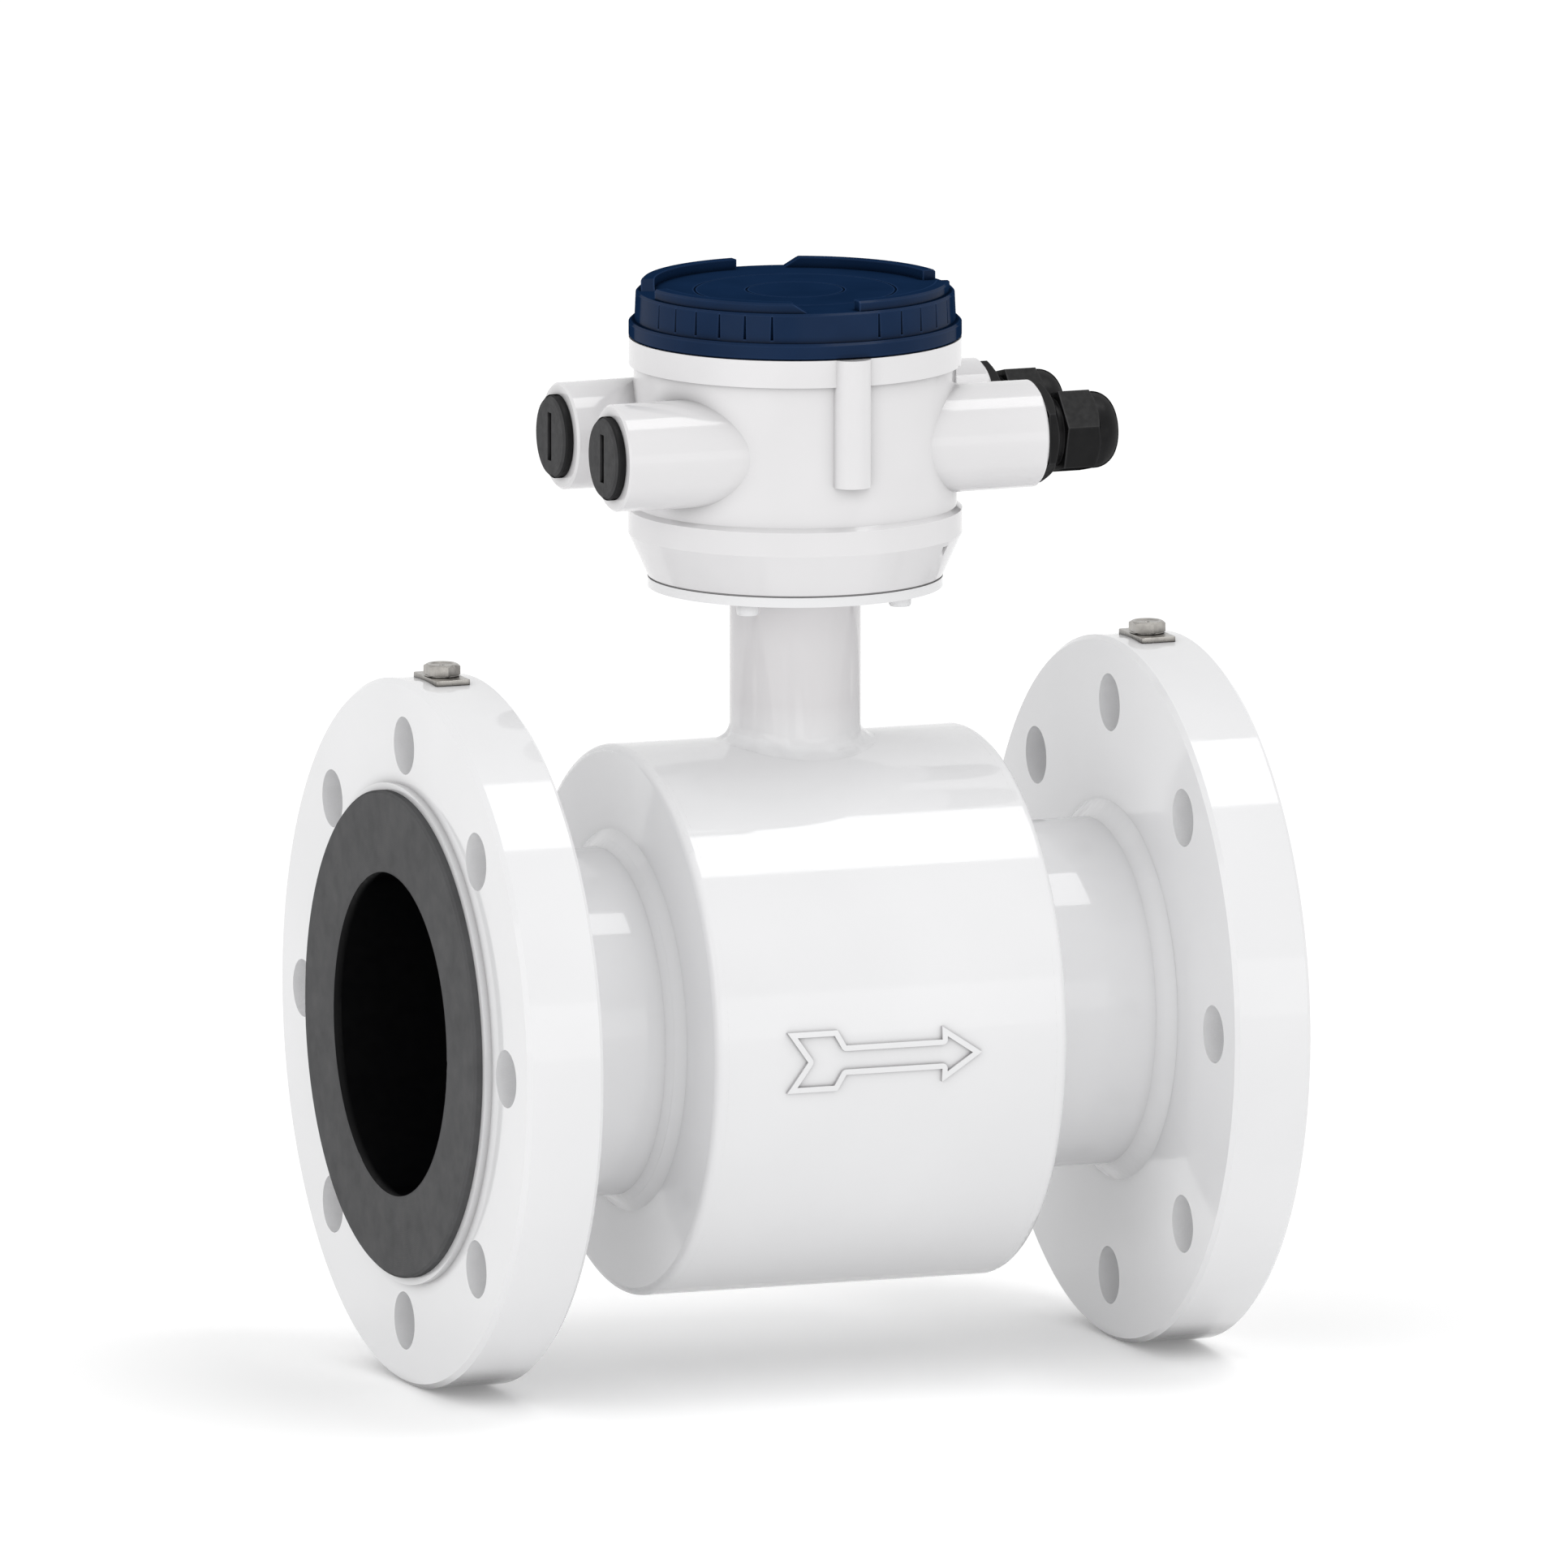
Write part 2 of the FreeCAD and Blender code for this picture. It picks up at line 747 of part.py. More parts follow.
# ---- Lid --------------------------------------------------------------------------------
def lid_body():
    chamfer = lid_flange_chamfer
    groove_top = rim_top_z - seal_play
    groove_bottom = groove_top - lid_seal_height - 2 * seal_play
    groove_r = skirt_r - lid_seal_width
    return turned_z([
        (rim_top_z - lid_skirt_depth, lid_bore_r),
        (rim_top_z - lid_skirt_depth, skirt_r - chamfer),
        (rim_top_z - lid_skirt_depth + chamfer, skirt_r),
        (groove_bottom, skirt_r),
        (groove_bottom, groove_r),
        (groove_top, groove_r),
        (groove_top, skirt_r),
        (rim_top_z, skirt_r),
        (rim_top_z, rim_r - chamfer),
        (rim_top_z + chamfer, rim_r),
        (lid_flange_top_z - chamfer, rim_r),
        (lid_flange_top_z, rim_r - chamfer),
        (lid_flange_top_z, lid_wall_r),
        (deck_z - lug_chamfer, lid_wall_r - lid_wall_draft),
        (deck_z, lid_wall_r - lid_wall_draft - lug_chamfer),
        (deck_z, lug_outer_r),
        (lug_top_z - lug_chamfer, lug_outer_r),
        (lug_top_z, lug_outer_r - lug_chamfer),
        (lug_top_z, lug_inner_r),
        (deck_z, lug_inner_r),
        (deck_z, 0),
        (deck_z - lid_deck_thickness, 0),
        (deck_z - lid_deck_thickness, lid_bore_r)])


def notch():
    """The gap between two lugs: an upright side, a floor at deck height and a ramp."""
    reach = 2 * rim_r
    upright = polar(reach, notch_edge_angle)
    floor_end = polar(reach, notch_edge_angle - notch_width_angle)
    gap = prism([(0, 0), (floor_end.x, floor_end.y), (upright.x, upright.y)], deck_z, lug_top_z)
    middle_r = (lug_outer_r + lug_inner_r) / 2
    run = middle_r * math.radians(notch_ramp_angle)
    slope = [Vector(0, 0, deck_z), Vector(0, -run, lug_top_z), Vector(0, 0, lug_top_z),
             Vector(0, 0, deck_z)]
    ramp = Part.Face(Part.makePolygon(slope)).extrude(X * reach)
    ramp.rotate(ORIGIN, Z, notch_edge_angle - notch_width_angle)
    return [gap, ramp]


def grip_groove(angle, half_width):
    """A vertical V groove in the lid's wall."""
    bottom = lid_flange_top_z + grip_end_gap
    mouth_r = lid_wall_r + grip_depth
    groove = prism([(lid_wall_r - grip_depth, 0), (mouth_r, -2 * half_width),
                    (mouth_r, 2 * half_width)], bottom, deck_z - grip_end_gap)
    groove.rotate(ORIGIN, Z, angle)
    return groove


def lid():
    cutters = []
    for quarter in range(lug_count):
        turn = quarter * 360 / lug_count
        for cutter in notch():
            cutter.rotate(ORIGIN, Z, turn)
            cutters.append(cutter)
        for index in range(grip_count):
            angle = notch_edge_angle + grip_first_angle + index * grip_pitch_angle
            cutters.append(grip_groove(turn + angle, grip_half_width))
    for radius in deck_groove_radii:
        cutters.append(ring_z(radius + deck_groove_width / 2, radius - deck_groove_width / 2,
                              deck_z - deck_groove_depth, deck_z))
    return lid_body().cut(cutters)


def lid_seal():
    top = rim_top_z - 2 * seal_play
    return ring_z(skirt_r + lid_skirt_clearance / 2, skirt_r - lid_seal_width + seal_play,
                  top - lid_seal_height, top)


# ---- Cable glands and blanking plugs, drawn along +Z from the boss face ------------------
gland_hex_z = gland_washer_thickness
gland_neck_z = gland_hex_z + gland_hex_height
gland_thread_z = gland_neck_z + gland_neck_height
gland_mouth_z = gland_thread_z + gland_thread_height
insert_nose_z = insert_seat_height - insert_nose_length
insert_top_z = insert_seat_height + insert_length
clamp_z = max(gland_mouth_z, insert_top_z) + 2 * seal_play
clamp_top_z = clamp_z + clamp_ring_height
nut_hex_z = gland_thread_z + seal_play
nut_dome_z = nut_hex_z + nut_hex_height
nut_top_z = nut_dome_z + nut_dome_height
clamp_ring_r = entry_thread_r - 2 * seal_play
nut_dome_r = nut_hex_flats / 2 - nut_dome_inset
nut_aperture_r = insert_bore_r + nut_aperture_margin
plug_seal_r = entry_thread_r + plug_seal_gap


def gland_washer():
    return ring_z(gland_hex_flats / 2 - gland_washer_inset, entry_thread_r, 0, gland_hex_z)


def gland_body():
    base = hexagon(gland_hex_flats, gland_hex_z, gland_neck_z, 0, gland_hex_chamfer)
    stem = turned_z([
        (-spigot_length, gland_bore_r),
        (-spigot_length, entry_thread_r - thread_play),
        (gland_neck_z, entry_thread_r - thread_play),
        (gland_neck_z, entry_thread_r + gland_neck_step),
        (gland_thread_z, entry_thread_r + gland_neck_step),
        (gland_thread_z, entry_thread_r),
        (gland_mouth_z, entry_thread_r),
        (gland_mouth_z, insert_r),
        (insert_seat_height, insert_r),
        (insert_seat_height, gland_bore_r)])
    return base.cut(rod_z(gland_bore_r, 0, gland_neck_z)).fuse(stem).removeSplitter()


def seal_insert():
    """The rubber ring that grips the cable; its nose centres it in the gland's narrow bore."""
    return turned_z([
        (insert_nose_z, insert_bore_r),
        (insert_nose_z, gland_bore_r - insert_play),
        (insert_seat_height, gland_bore_r - insert_play),
        (insert_seat_height, insert_r - insert_play),
        (insert_top_z, insert_r - insert_play),
        (insert_top_z, insert_bore_r)])


def clamping_ring():
    """The slitted ring that the dome nut squeezes onto the rubber insert."""
    inner = insert_bore_r + 3 * seal_play
    return turned_z([
        (clamp_z, inner),
        (clamp_z, clamp_ring_r),
        (clamp_top_z, clamp_ring_r - clamp_ring_taper),
        (clamp_top_z, inner)])


def dome_nut():
    """A hexagon nut with a domed end; its inner cone follows the clamping ring."""
    thread = entry_thread_r + thread_play
    slope = clamp_ring_taper / clamp_ring_height
    cone_end = clamp_top_z + 3 * seal_play
    cone_start = clamp_z - 2 * seal_play
    outside = turned_z([
        (nut_dome_z, 0),
        (nut_dome_z, nut_dome_r),
        (nut_top_z, nut_dome_r, nut_dome_round),
        (nut_top_z, 0)])
    body = hexagon(nut_hex_flats, nut_hex_z, nut_dome_z, nut_turn_angle, nut_chamfer).fuse(outside)
    cavity = turned_z([
        (nut_hex_z, 0),
        (nut_hex_z, thread),
        (cone_start, thread),
        (cone_end, thread - slope * (cone_end - cone_start)),
        (cone_end, nut_aperture_r),
        (nut_top_z, nut_aperture_r),
        (nut_top_z, 0)])
    return body.cut(cavity).removeSplitter()


def blanking_plug():
    head_r = plug_head_od / 2
    low = plug_head_gap
    top = low + plug_head_height
    groove_in = plug_seal_r - seal_play
    groove_out = plug_seal_r + plug_seal_width + seal_play
    groove_top = low + plug_seal_height
    plug = turned_z([
        (-spigot_length, 0),
        (-spigot_length, entry_thread_r - thread_play),
        (low, entry_thread_r - thread_play),
        (low, groove_in),
        (groove_top, groove_in),
        (groove_top, groove_out),
        (low, groove_out),
        (low, head_r),
        (top - plug_head_chamfer, head_r),
        (top, head_r - plug_head_chamfer),
        (top, 0)])
    half = plug_slot_width / 2
    slot = block(Vector(-plug_slot_length / 2, -half, top - plug_slot_depth),
                 Vector(plug_slot_length / 2, half, top))
    return plug.cut(slot)


def plug_seal():
    return ring_z(plug_seal_r + plug_seal_width, plug_seal_r,
                  plug_head_gap / 4, plug_seal_height)


# ---- Earthing bolts, drawn along +Z from the flat on the flange --------------------------
earth_washer_z = earth_plate_thickness
earth_head_z = earth_washer_z + earth_washer_thickness
earth_stem_r = earth_bolt_thread / 2 - thread_play
earth_bolt_end_z = earth_hole_end_z + earth_bolt_end_gap - earth_z


def earth_plate():
    x = earth_plate_width / 2
    y = earth_plate_length / 2
    corner = earth_plate_round
    plate = prism([(-x, -y, corner), (x, -y, corner), (x, y, corner), (-x, y, corner)],
                  0, earth_plate_thickness)
    return plate.cut(rod_z(earth_bolt_thread / 2 + thread_play, 0, earth_plate_thickness))


def earth_washer():
    """A split spring washer that stays on its bolt."""
    ring = ring_z(earth_washer_od / 2, earth_bolt_thread / 2 + thread_play,
                  earth_washer_z + seal_play / 2, earth_head_z)
    slit = block(Vector(0, -earth_washer_slit / 2, 0),
                 Vector(earth_washer_od, earth_washer_slit / 2, earth_head_z))
    return ring.cut(slit)


def earth_bolt():
    low = earth_head_z + seal_play / 2
    head = hexagon(earth_bolt_flats, low, low + earth_bolt_head_height, 0, earth_bolt_chamfer)
    return head.fuse(rod_z(earth_stem_r, earth_bolt_end_z, low))


# ---- All nodes --------------------------------------------------------------------------
def sensor_nodes():
    nodes = {
        "outlet_flange": outlet_flange(),
        "measuring_tube": measuring_tube(),
        "liner": liner(),
        "housing_barrel": housing_barrel(),
        "outlet_end_plate": outlet_end_plate(),
        "upper_pole_shoe": upper_pole_shoe(),
        "upper_coil": upper_coil(),
        "return_band": return_band(),
        "rear_electrode": electrode(),
        "electrode_bushes": pair_across(electrode_bush()),
        "electrode_washers": pair_across(electrode_washer()),
        "electrode_nuts": pair_across(electrode_nut())}
    nodes["inlet_flange"] = mirrored_x(nodes["outlet_flange"])
    nodes["inlet_end_plate"] = mirrored_x(nodes["outlet_end_plate"])
    nodes["lower_pole_shoe"] = flipped(nodes["upper_pole_shoe"])
    nodes["lower_coil"] = flipped(nodes["upper_coil"])
    nodes["core_screws"] = Part.makeCompound([core_screw(), flipped(core_screw())])
    nodes["front_electrode"] = nodes["rear_electrode"].mirror(ORIGIN, Y)
    return nodes


def head_nodes():
    return {
        "neck_tube": neck_tube(),
        "base_plate": base_plate(),
        "base_gasket": base_gasket(),
        "base_screws": base_screws(),
        "lead_bundle": lead_bundle(),
        "converter_housing": converter_housing(),
        "lock_screw": lock_screw(),
        "electronics_module": electronics_module(),
        "board_spacers": board_spacers(),
        "terminal_board": terminal_board(),
        "board_screws": board_screws(),
        "signal_terminals": terminal_block(-1),
        "power_terminals": terminal_block(1),
        "lid": lid(),
        "lid_seal": lid_seal()}


def entry_nodes():
    pieces = {
        "outlet": {"gland_washer": gland_washer(), "gland_body": gland_body(),
                   "seal_insert": seal_insert(), "clamping_ring": clamping_ring(),
                   "dome_nut": dome_nut()},
        "inlet": {"blanking_plug": blanking_plug(), "plug_seal": plug_seal()}}
    nodes = {}
    for (end, place), (centre, facing) in entry_places().items():
        for name, shape in pieces[end].items():
            nodes[place + "_" + name] = placed(shape, centre, facing)
    return nodes


def earth_nodes():
    pieces = {"earth_plate": earth_plate(), "earth_washer": earth_washer(),
              "earth_bolt": earth_bolt()}
    nodes = {}
    for end, side in (("inlet", -1), ("outlet", 1)):
        for name, shape in pieces.items():
            nodes[end + "_" + name] = placed(shape, Vector(side * earth_x, 0, earth_z), Z)
    return nodes


def main():
    os.makedirs("parts", exist_ok=True)
    nodes = {}
    for group in (sensor_nodes(), head_nodes(), entry_nodes(), earth_nodes()):
        nodes.update(group)
    for name, shape in sorted(nodes.items()):
        shape.exportStep("parts/" + name + ".step")
        print(name, "solids", len(shape.Solids), "volume", round(shape.Volume, 1),
              "valid", shape.isValid())


main()
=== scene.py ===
import json
import math

import bmesh
import bpy
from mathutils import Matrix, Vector, noise


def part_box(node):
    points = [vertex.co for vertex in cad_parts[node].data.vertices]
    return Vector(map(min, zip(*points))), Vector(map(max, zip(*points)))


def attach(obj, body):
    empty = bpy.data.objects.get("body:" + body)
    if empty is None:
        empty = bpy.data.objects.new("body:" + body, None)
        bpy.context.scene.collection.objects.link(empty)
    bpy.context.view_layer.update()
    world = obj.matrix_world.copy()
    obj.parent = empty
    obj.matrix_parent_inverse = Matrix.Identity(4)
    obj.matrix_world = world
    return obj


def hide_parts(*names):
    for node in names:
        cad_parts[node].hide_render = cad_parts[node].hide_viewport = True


# Looks of the flanged flow meter. Metres, in the CAD's own frame: +X is the direction of flow,
# +Z runs up through the converter head, and the pipe axis is the X axis.
MM = 0.001
FULL_TURN = 2 * math.pi

# ---- Camera ------------------------------------------------------------------------------
VIEW_AZIMUTH = math.radians(-20.68)
VIEW_ELEVATION = math.radians(9.44)
VIEW_DISTANCE = 21.768
VIEW_LENS = 1615.5
SENSOR = 36.0
AIM = Vector((0.0009, 0.01215, 0.0685))

# ---- Threads, which the solids carry plain -------------------------------------------------
ENTRY_Y = 23.15 * MM
ENTRY_Z = 179.9 * MM
EARTH_X = 116.5 * MM
LID_PITCH = 3.0 * MM
ENTRY_PITCH = 1.5 * MM
EARTH_PITCH = 1.0 * MM

# ---- Neck and its weld on the barrel -------------------------------------------------------
BARREL_RADIUS = 85.5 * MM
NECK_RADIUS = 20.3 * MM
NECK_BORE = 17.3 * MM
NECK_SIDES = 180
WELD_LEG = 5.0 * MM
WELD_STEPS = 12
WELD_LUMP = 0.5 * MM
WELD_SINK = 1.0 * MM

# ---- Earth terminals and the screws under the head ----------------------------------------
PLATE_WIDTH = 11.4 * MM
PLATE_LENGTH = 20.8 * MM
PLATE_THICK = 1.7 * MM
PLATE_CORNER = 1.0 * MM
PLATE_EDGE = 0.25 * MM
WASHER_RADIUS = 5.4 * MM
WASHER_THICK = 0.5 * MM
WASHER_EDGE = 0.12 * MM
HEAD_FLATS = 10.0 * MM
HEAD_HEIGHT = 3.3 * MM
HEAD_CROWN = 0.35 * MM
HEAD_CHAMFER = math.radians(30)
EARTH_STEM = 2.9 * MM
STEM_CHAMFER = 0.5 * MM
SCREW_PLACE = 25.1 * MM
SCREW_RADIUS = 3.5 * MM
SCREW_HEAD = 4.5 * MM
SCREW_CROWN = ((1.2 * MM, 0.0), (0.45 * MM, 0.15 * MM), (0.1 * MM, 0.6 * MM), (0.0, 1.2 * MM))
SCREW_SHANK = 2.0 * MM
SCREW_TIP = 0.4 * MM
SCREW_SIDES = 48
WASHER_GAUGE = 0.5 * MM
WASHER_LIP = 0.9 * MM
WASHER_SINK = 0.05 * MM

# ---- Floor and light ---------------------------------------------------------------------
AMBIENT = 0.78
SUN_DIRECTION = Vector((0.348, -0.122, 0.930))
SUN_ANGLE = math.radians(25)
SUN_GLOW = 0.16
FLOOR_HALF = 30.0
FLOOR_TONE = 0.95
FLOOR_LIFT = 0.2
WHITE = (1.0, 1.0, 1.0, 1.0)

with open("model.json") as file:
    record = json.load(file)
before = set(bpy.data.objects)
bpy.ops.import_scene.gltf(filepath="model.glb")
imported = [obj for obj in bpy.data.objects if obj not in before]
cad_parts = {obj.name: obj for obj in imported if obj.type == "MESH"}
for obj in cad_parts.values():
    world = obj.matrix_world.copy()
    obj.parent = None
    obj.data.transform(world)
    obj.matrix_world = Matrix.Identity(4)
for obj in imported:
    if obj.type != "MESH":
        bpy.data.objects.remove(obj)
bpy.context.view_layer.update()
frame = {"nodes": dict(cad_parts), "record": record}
nodes = frame["nodes"]
floor_z = min(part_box(name)[0].z for name in nodes)


# ---- Material helpers --------------------------------------------------------------------
def linear(red, green, blue):
    """An sRGB colour of 0 to 255 as the linear colour that a shader takes."""
    values = [channel / 255 for channel in (red, green, blue)]
    low = [v / 12.92 for v in values]
    high = [((v + 0.055) / 1.055) ** 2.4 for v in values]
    return tuple(a if v <= 0.04045 else b for v, a, b in zip(values, low, high)) + (1.0,)


class Look:
    """A material whose Principled shader is fed by patterns laid in the part's own space."""

    def __init__(self, name, **constants):
        self.material = bpy.data.materials.new(name)
        self.material.use_nodes = True
        self.tree = self.material.node_tree
        self.shader = self.tree.nodes["Principled BSDF"]
        for socket, value in constants.items():
            self.shader.inputs[socket.replace("_", " ")].default_value = value

    def node(self, kind, **inputs):
        made = self.tree.nodes.new(kind)
        for socket, value in inputs.items():
            made.inputs[socket.replace("_", " ")].default_value = value
        return made

    def join(self, output, node, socket):
        self.tree.links.new(output, node.inputs[socket])

    def sum(self, operation, *values):
        """A Math node fed by outputs and numbers."""
        made = self.node("ShaderNodeMath")
        made.operation = operation
        for socket, value in zip(made.inputs, values):
            if isinstance(value, bpy.types.NodeSocket):
                self.tree.links.new(value, socket)
            else:
                socket.default_value = value
        return made.outputs["Value"]

    def axes(self):
        """The three distances from the part's origin."""
        coordinates = self.node("ShaderNodeTexCoord")
        apart = self.node("ShaderNodeSeparateXYZ")
        self.join(coordinates.outputs["Object"], apart, "Vector")
        return [apart.outputs[axis] for axis in "XYZ"]

    def radius(self, first, second):
        return self.sum("SQRT", self.sum("MULTIPLY_ADD", first, first,
                                         self.sum("MULTIPLY", second, second)))

    def within(self, value, low, high):
        """One where low <= value <= high, nought elsewhere."""
        return self.sum("COMPARE", value, (low + high) / 2, (high - low) / 2)

    def both(self, *masks):
        joint = masks[0]
        for mask in masks[1:]:
            joint = self.sum("MULTIPLY", joint, mask)
        return joint

    def ridges(self, along, pitch, mask):
        """Thread ridges of the given pitch, from 0 in the root to 1 on the crest."""
        crest = self.sum("PINGPONG", along, pitch / 2)
        return self.sum("MULTIPLY", self.sum("DIVIDE", crest, pitch / 2), mask)

    def helix(self, first, second, along, pitch):
        """The distance along an axis, less the pitch for each turn round it."""
        angle = self.sum("ARCTAN2", second, first)
        return self.sum("MULTIPLY_ADD", angle, -pitch / FULL_TURN, along)

    def place(self, stretch):
        coordinates = self.node("ShaderNodeTexCoord")
        mapping = self.node("ShaderNodeMapping", Scale=stretch)
        self.join(coordinates.outputs["Object"], mapping, "Vector")
        return mapping.outputs["Vector"]

    def grain(self, size, detail=2.0, stretch=(1, 1, 1)):
        """Cloudy noise with blotches about size metres across."""
        noise = self.node("ShaderNodeTexNoise", Scale=1 / size, Detail=detail)
        self.join(self.place(stretch), noise, "Vector")
        return noise.outputs["Fac"]

    def lines(self, pitch, axis, rings=False, wander=0.4):
        """Bands across an axis, or rings round it, pitch metres apart."""
        wave = self.node("ShaderNodeTexWave", Distortion=wander)
        wave.wave_type = "RINGS" if rings else "BANDS"
        if rings:
            wave.rings_direction = axis
        else:
            wave.bands_direction = axis
        wave.inputs["Scale"].default_value = FULL_TURN / (20 * pitch)
        self.join(self.place((1, 1, 1)), wave, "Vector")
        return wave.outputs["Fac"]

    def spread(self, pattern, low, high):
        """The middle stretch of a pattern, 0.3 to 0.7, mapped to low..high."""
        ramp = self.node("ShaderNodeMapRange", From_Min=0.3, From_Max=0.7, To_Min=low, To_Max=high)
        self.join(pattern, ramp, "Value")
        return ramp.outputs["Result"]

    def colour(self, pattern, tone_a, tone_b):
        mix = self.tree.nodes.new("ShaderNodeMixRGB")
        mix.inputs["Color1"].default_value = tone_a
        mix.inputs["Color2"].default_value = tone_b
        self.join(self.spread(pattern, 0, 1), mix, "Fac")
        self.base = mix.outputs["Color"]
        self.join(self.base, self.shader, "Base Color")

    def tint(self, mask, tone):
        """Another colour where the mask is 1."""
        mix = self.tree.nodes.new("ShaderNodeMixRGB")
        mix.inputs["Color2"].default_value = tone
        self.join(self.base, mix, "Color1")
        self.join(mask, mix, "Fac")
        self.base = mix.outputs["Color"]
        self.join(self.base, self.shader, "Base Color")

    def painted_crease_shade(self, reach, tone, low=0.35, high=0.95):
        """Painted shade: another tone, laid by ambient occlusion in corners and along the foot of every step.
        """
        hollow = self.node("ShaderNodeAmbientOcclusion", Distance=reach)
        hollow.samples = 8
        shade_amount = self.node("ShaderNodeMapRange", From_Min=low, From_Max=high, To_Min=1.0, To_Max=0.0)
        self.join(hollow.outputs["AO"], shade_amount, "Value")
        self.tint(shade_amount.outputs["Result"], tone)

    def edges(self, reach, tone):
        """A painted highlight: a paler line along outer edges, laid by inside ambient occlusion."""
        solid = self.node("ShaderNodeAmbientOcclusion", Distance=reach)
        solid.samples = 8
        solid.inside = True
        highlight_amount = self.node("ShaderNodeMapRange", From_Min=0.6, From_Max=0.95, To_Min=1.0, To_Max=0.0)
        self.join(solid.outputs["AO"], highlight_amount, "Value")
        self.tint(highlight_amount.outputs["Result"], tone)

    def roughness(self, pattern, low, high):
        self.join(self.spread(pattern, low, high), self.shader, "Roughness")

    def shine(self, level):
        """Reflection of a dark surface: weak face on, and none at a grazing angle."""
        facing = self.node("ShaderNodeLayerWeight")
        ramp = self.node("ShaderNodeMapRange", From_Min=0.35, From_Max=0.75, To_Min=level, To_Max=0.0)
        self.join(facing.outputs["Facing"], ramp, "Value")
        self.join(ramp.outputs["Result"], self.shader, "Specular IOR Level")

    def relief(self, *layers):
        """Bump from (pattern, depth in metres) layers, one on another."""
        normal = None
        for pattern, depth in layers:
            bump = self.node("ShaderNodeBump", Distance=depth)
            self.join(pattern, bump, "Height")
            if normal is not None:
                self.join(normal, bump, "Normal")
            normal = bump.outputs["Normal"]
        self.join(normal, self.shader, "Normal")


# ---- Materials, one for each slot of the record ------------------------------------------
def sensor_paint():
    """Gloss white enamel on steel, with a faint orange peel."""
    look = Look("sensor_paint", IOR=1.5)
    look.colour(look.grain(0.06), linear(233, 233, 234), linear(237, 237, 238))
    x, y, z = look.axes()
    # Painted shade: the neck is painted greyer, fading in above its foot, for the shade under the head.
    neck_shade_ramp = look.sum("DIVIDE", look.sum("SUBTRACT", z, 84 * MM), 14 * MM)
    neck_shade_ramp = look.sum("MINIMUM", look.sum("MAXIMUM", neck_shade_ramp, 0.0), 1.0)
    neck = look.both(look.within(look.radius(x, y), 0, 21 * MM), look.within(z, 84 * MM, 132.9 * MM), neck_shade_ramp)
    look.tint(neck, linear(220, 218, 219))
    # Painted shade in corners and creases, a narrow one and a broad one.
    look.painted_crease_shade(0.004, linear(176, 175, 176))
    look.painted_crease_shade(0.018, linear(150, 149, 150), 0.15, 0.5)
    look.roughness(look.grain(0.012), 0.05, 0.09)
    pipe_weld = look.both(look.within(look.radius(y, z), 54.2 * MM, 59.8 * MM),
                          look.within(look.sum("ABSOLUTE", x), 61 * MM, 104 * MM))
    look.relief((look.grain(0.004), 2e-6), (look.grain(0.02), 8e-6),
                (look.both(look.grain(0.005, 1.0), pipe_weld), 2.5e-4))
    return look.material


def head_paint():
    """Gloss white powder coat on die-cast aluminium: more texture than the sensor's enamel."""
    look = Look("head_paint", IOR=1.5)
    look.colour(look.grain(0.04), linear(226, 225, 226), linear(231, 230, 231))
    # Painted shade in corners and creases.
    look.painted_crease_shade(0.006, linear(168, 167, 168))
    look.roughness(look.grain(0.008), 0.08, 0.13)
    x, y, z = look.axes()
    thread = look.both(look.within(look.radius(x, y), 45 * MM, 46 * MM),
                       look.within(z, 200.5 * MM, 210.2 * MM))
    look.relief((look.grain(0.0022, 3.0), 3e-6), (look.grain(0.012), 8e-6),
                (look.ridges(look.helix(x, y, z, LID_PITCH), LID_PITCH, thread), 7e-4))
    return look.material


def lid_paint():
    """Gloss navy powder coat; the skirt under the flange carries the lid's thread."""
    look = Look("lid_paint", IOR=1.5)
    look.colour(look.grain(0.02), linear(17, 37, 65), linear(21, 42, 72))
    # Painted shade in creases, and a painted highlight along the outer edges.
    look.painted_crease_shade(0.0022, linear(4, 11, 24))
    look.edges(0.0006, linear(36, 58, 92))
    look.shine(0.06)
    look.roughness(look.grain(0.008), 0.16, 0.24)
    x, y, z = look.axes()
    thread = look.both(look.within(look.radius(x, y), 44.5 * MM, 45.4 * MM),
                       look.within(z, 201 * MM, 211 * MM))
    look.relief((look.grain(0.0022, 3.0), 6e-6), (look.grain(0.012), 1.5e-5),
                (look.ridges(look.helix(x, y, z, LID_PITCH), LID_PITCH, thread), 7e-4))
    return look.material


def liner_rubber():
    """Hard rubber, faced on a lathe: fine rings round the bore."""
    look = Look("liner_rubber", IOR=1.5)
    look.colour(look.grain(0.01, 4.0), linear(81, 81, 82), linear(89, 89, 90))
    x, y, z = look.axes()
    # Painted shade: the bore is painted near black, for the shade inside the pipe.
    bore = look.within(look.radius(y, z), 0, 50.2 * MM)
    look.tint(bore, linear(7, 7, 8))
    look.shine(0.08)
    look.roughness(look.grain(0.004, 4.0), 0.42, 0.58)
    look.relief((look.lines(0.0006, "X", rings=True), 8e-6), (look.grain(0.0008, 4.0), 8e-6))
    return look.material


def seal_rubber():
    look = Look("seal_rubber", IOR=1.5)
    look.colour(look.grain(0.003, 3.0), linear(22, 22, 23), linear(33, 33, 34))
    x, y, z = look.axes()
    painted = look.both(look.within(look.radius(x, y), 44 * MM, 46 * MM), look.within(z, 135.9 * MM, 137 * MM))
    look.tint(painted, linear(178, 177, 178))
    look.shine(0.1)
    look.roughness(look.grain(0.002, 3.0), 0.55, 0.75)
    look.relief((look.grain(0.0005, 3.0), 1e-5))
    return look.material


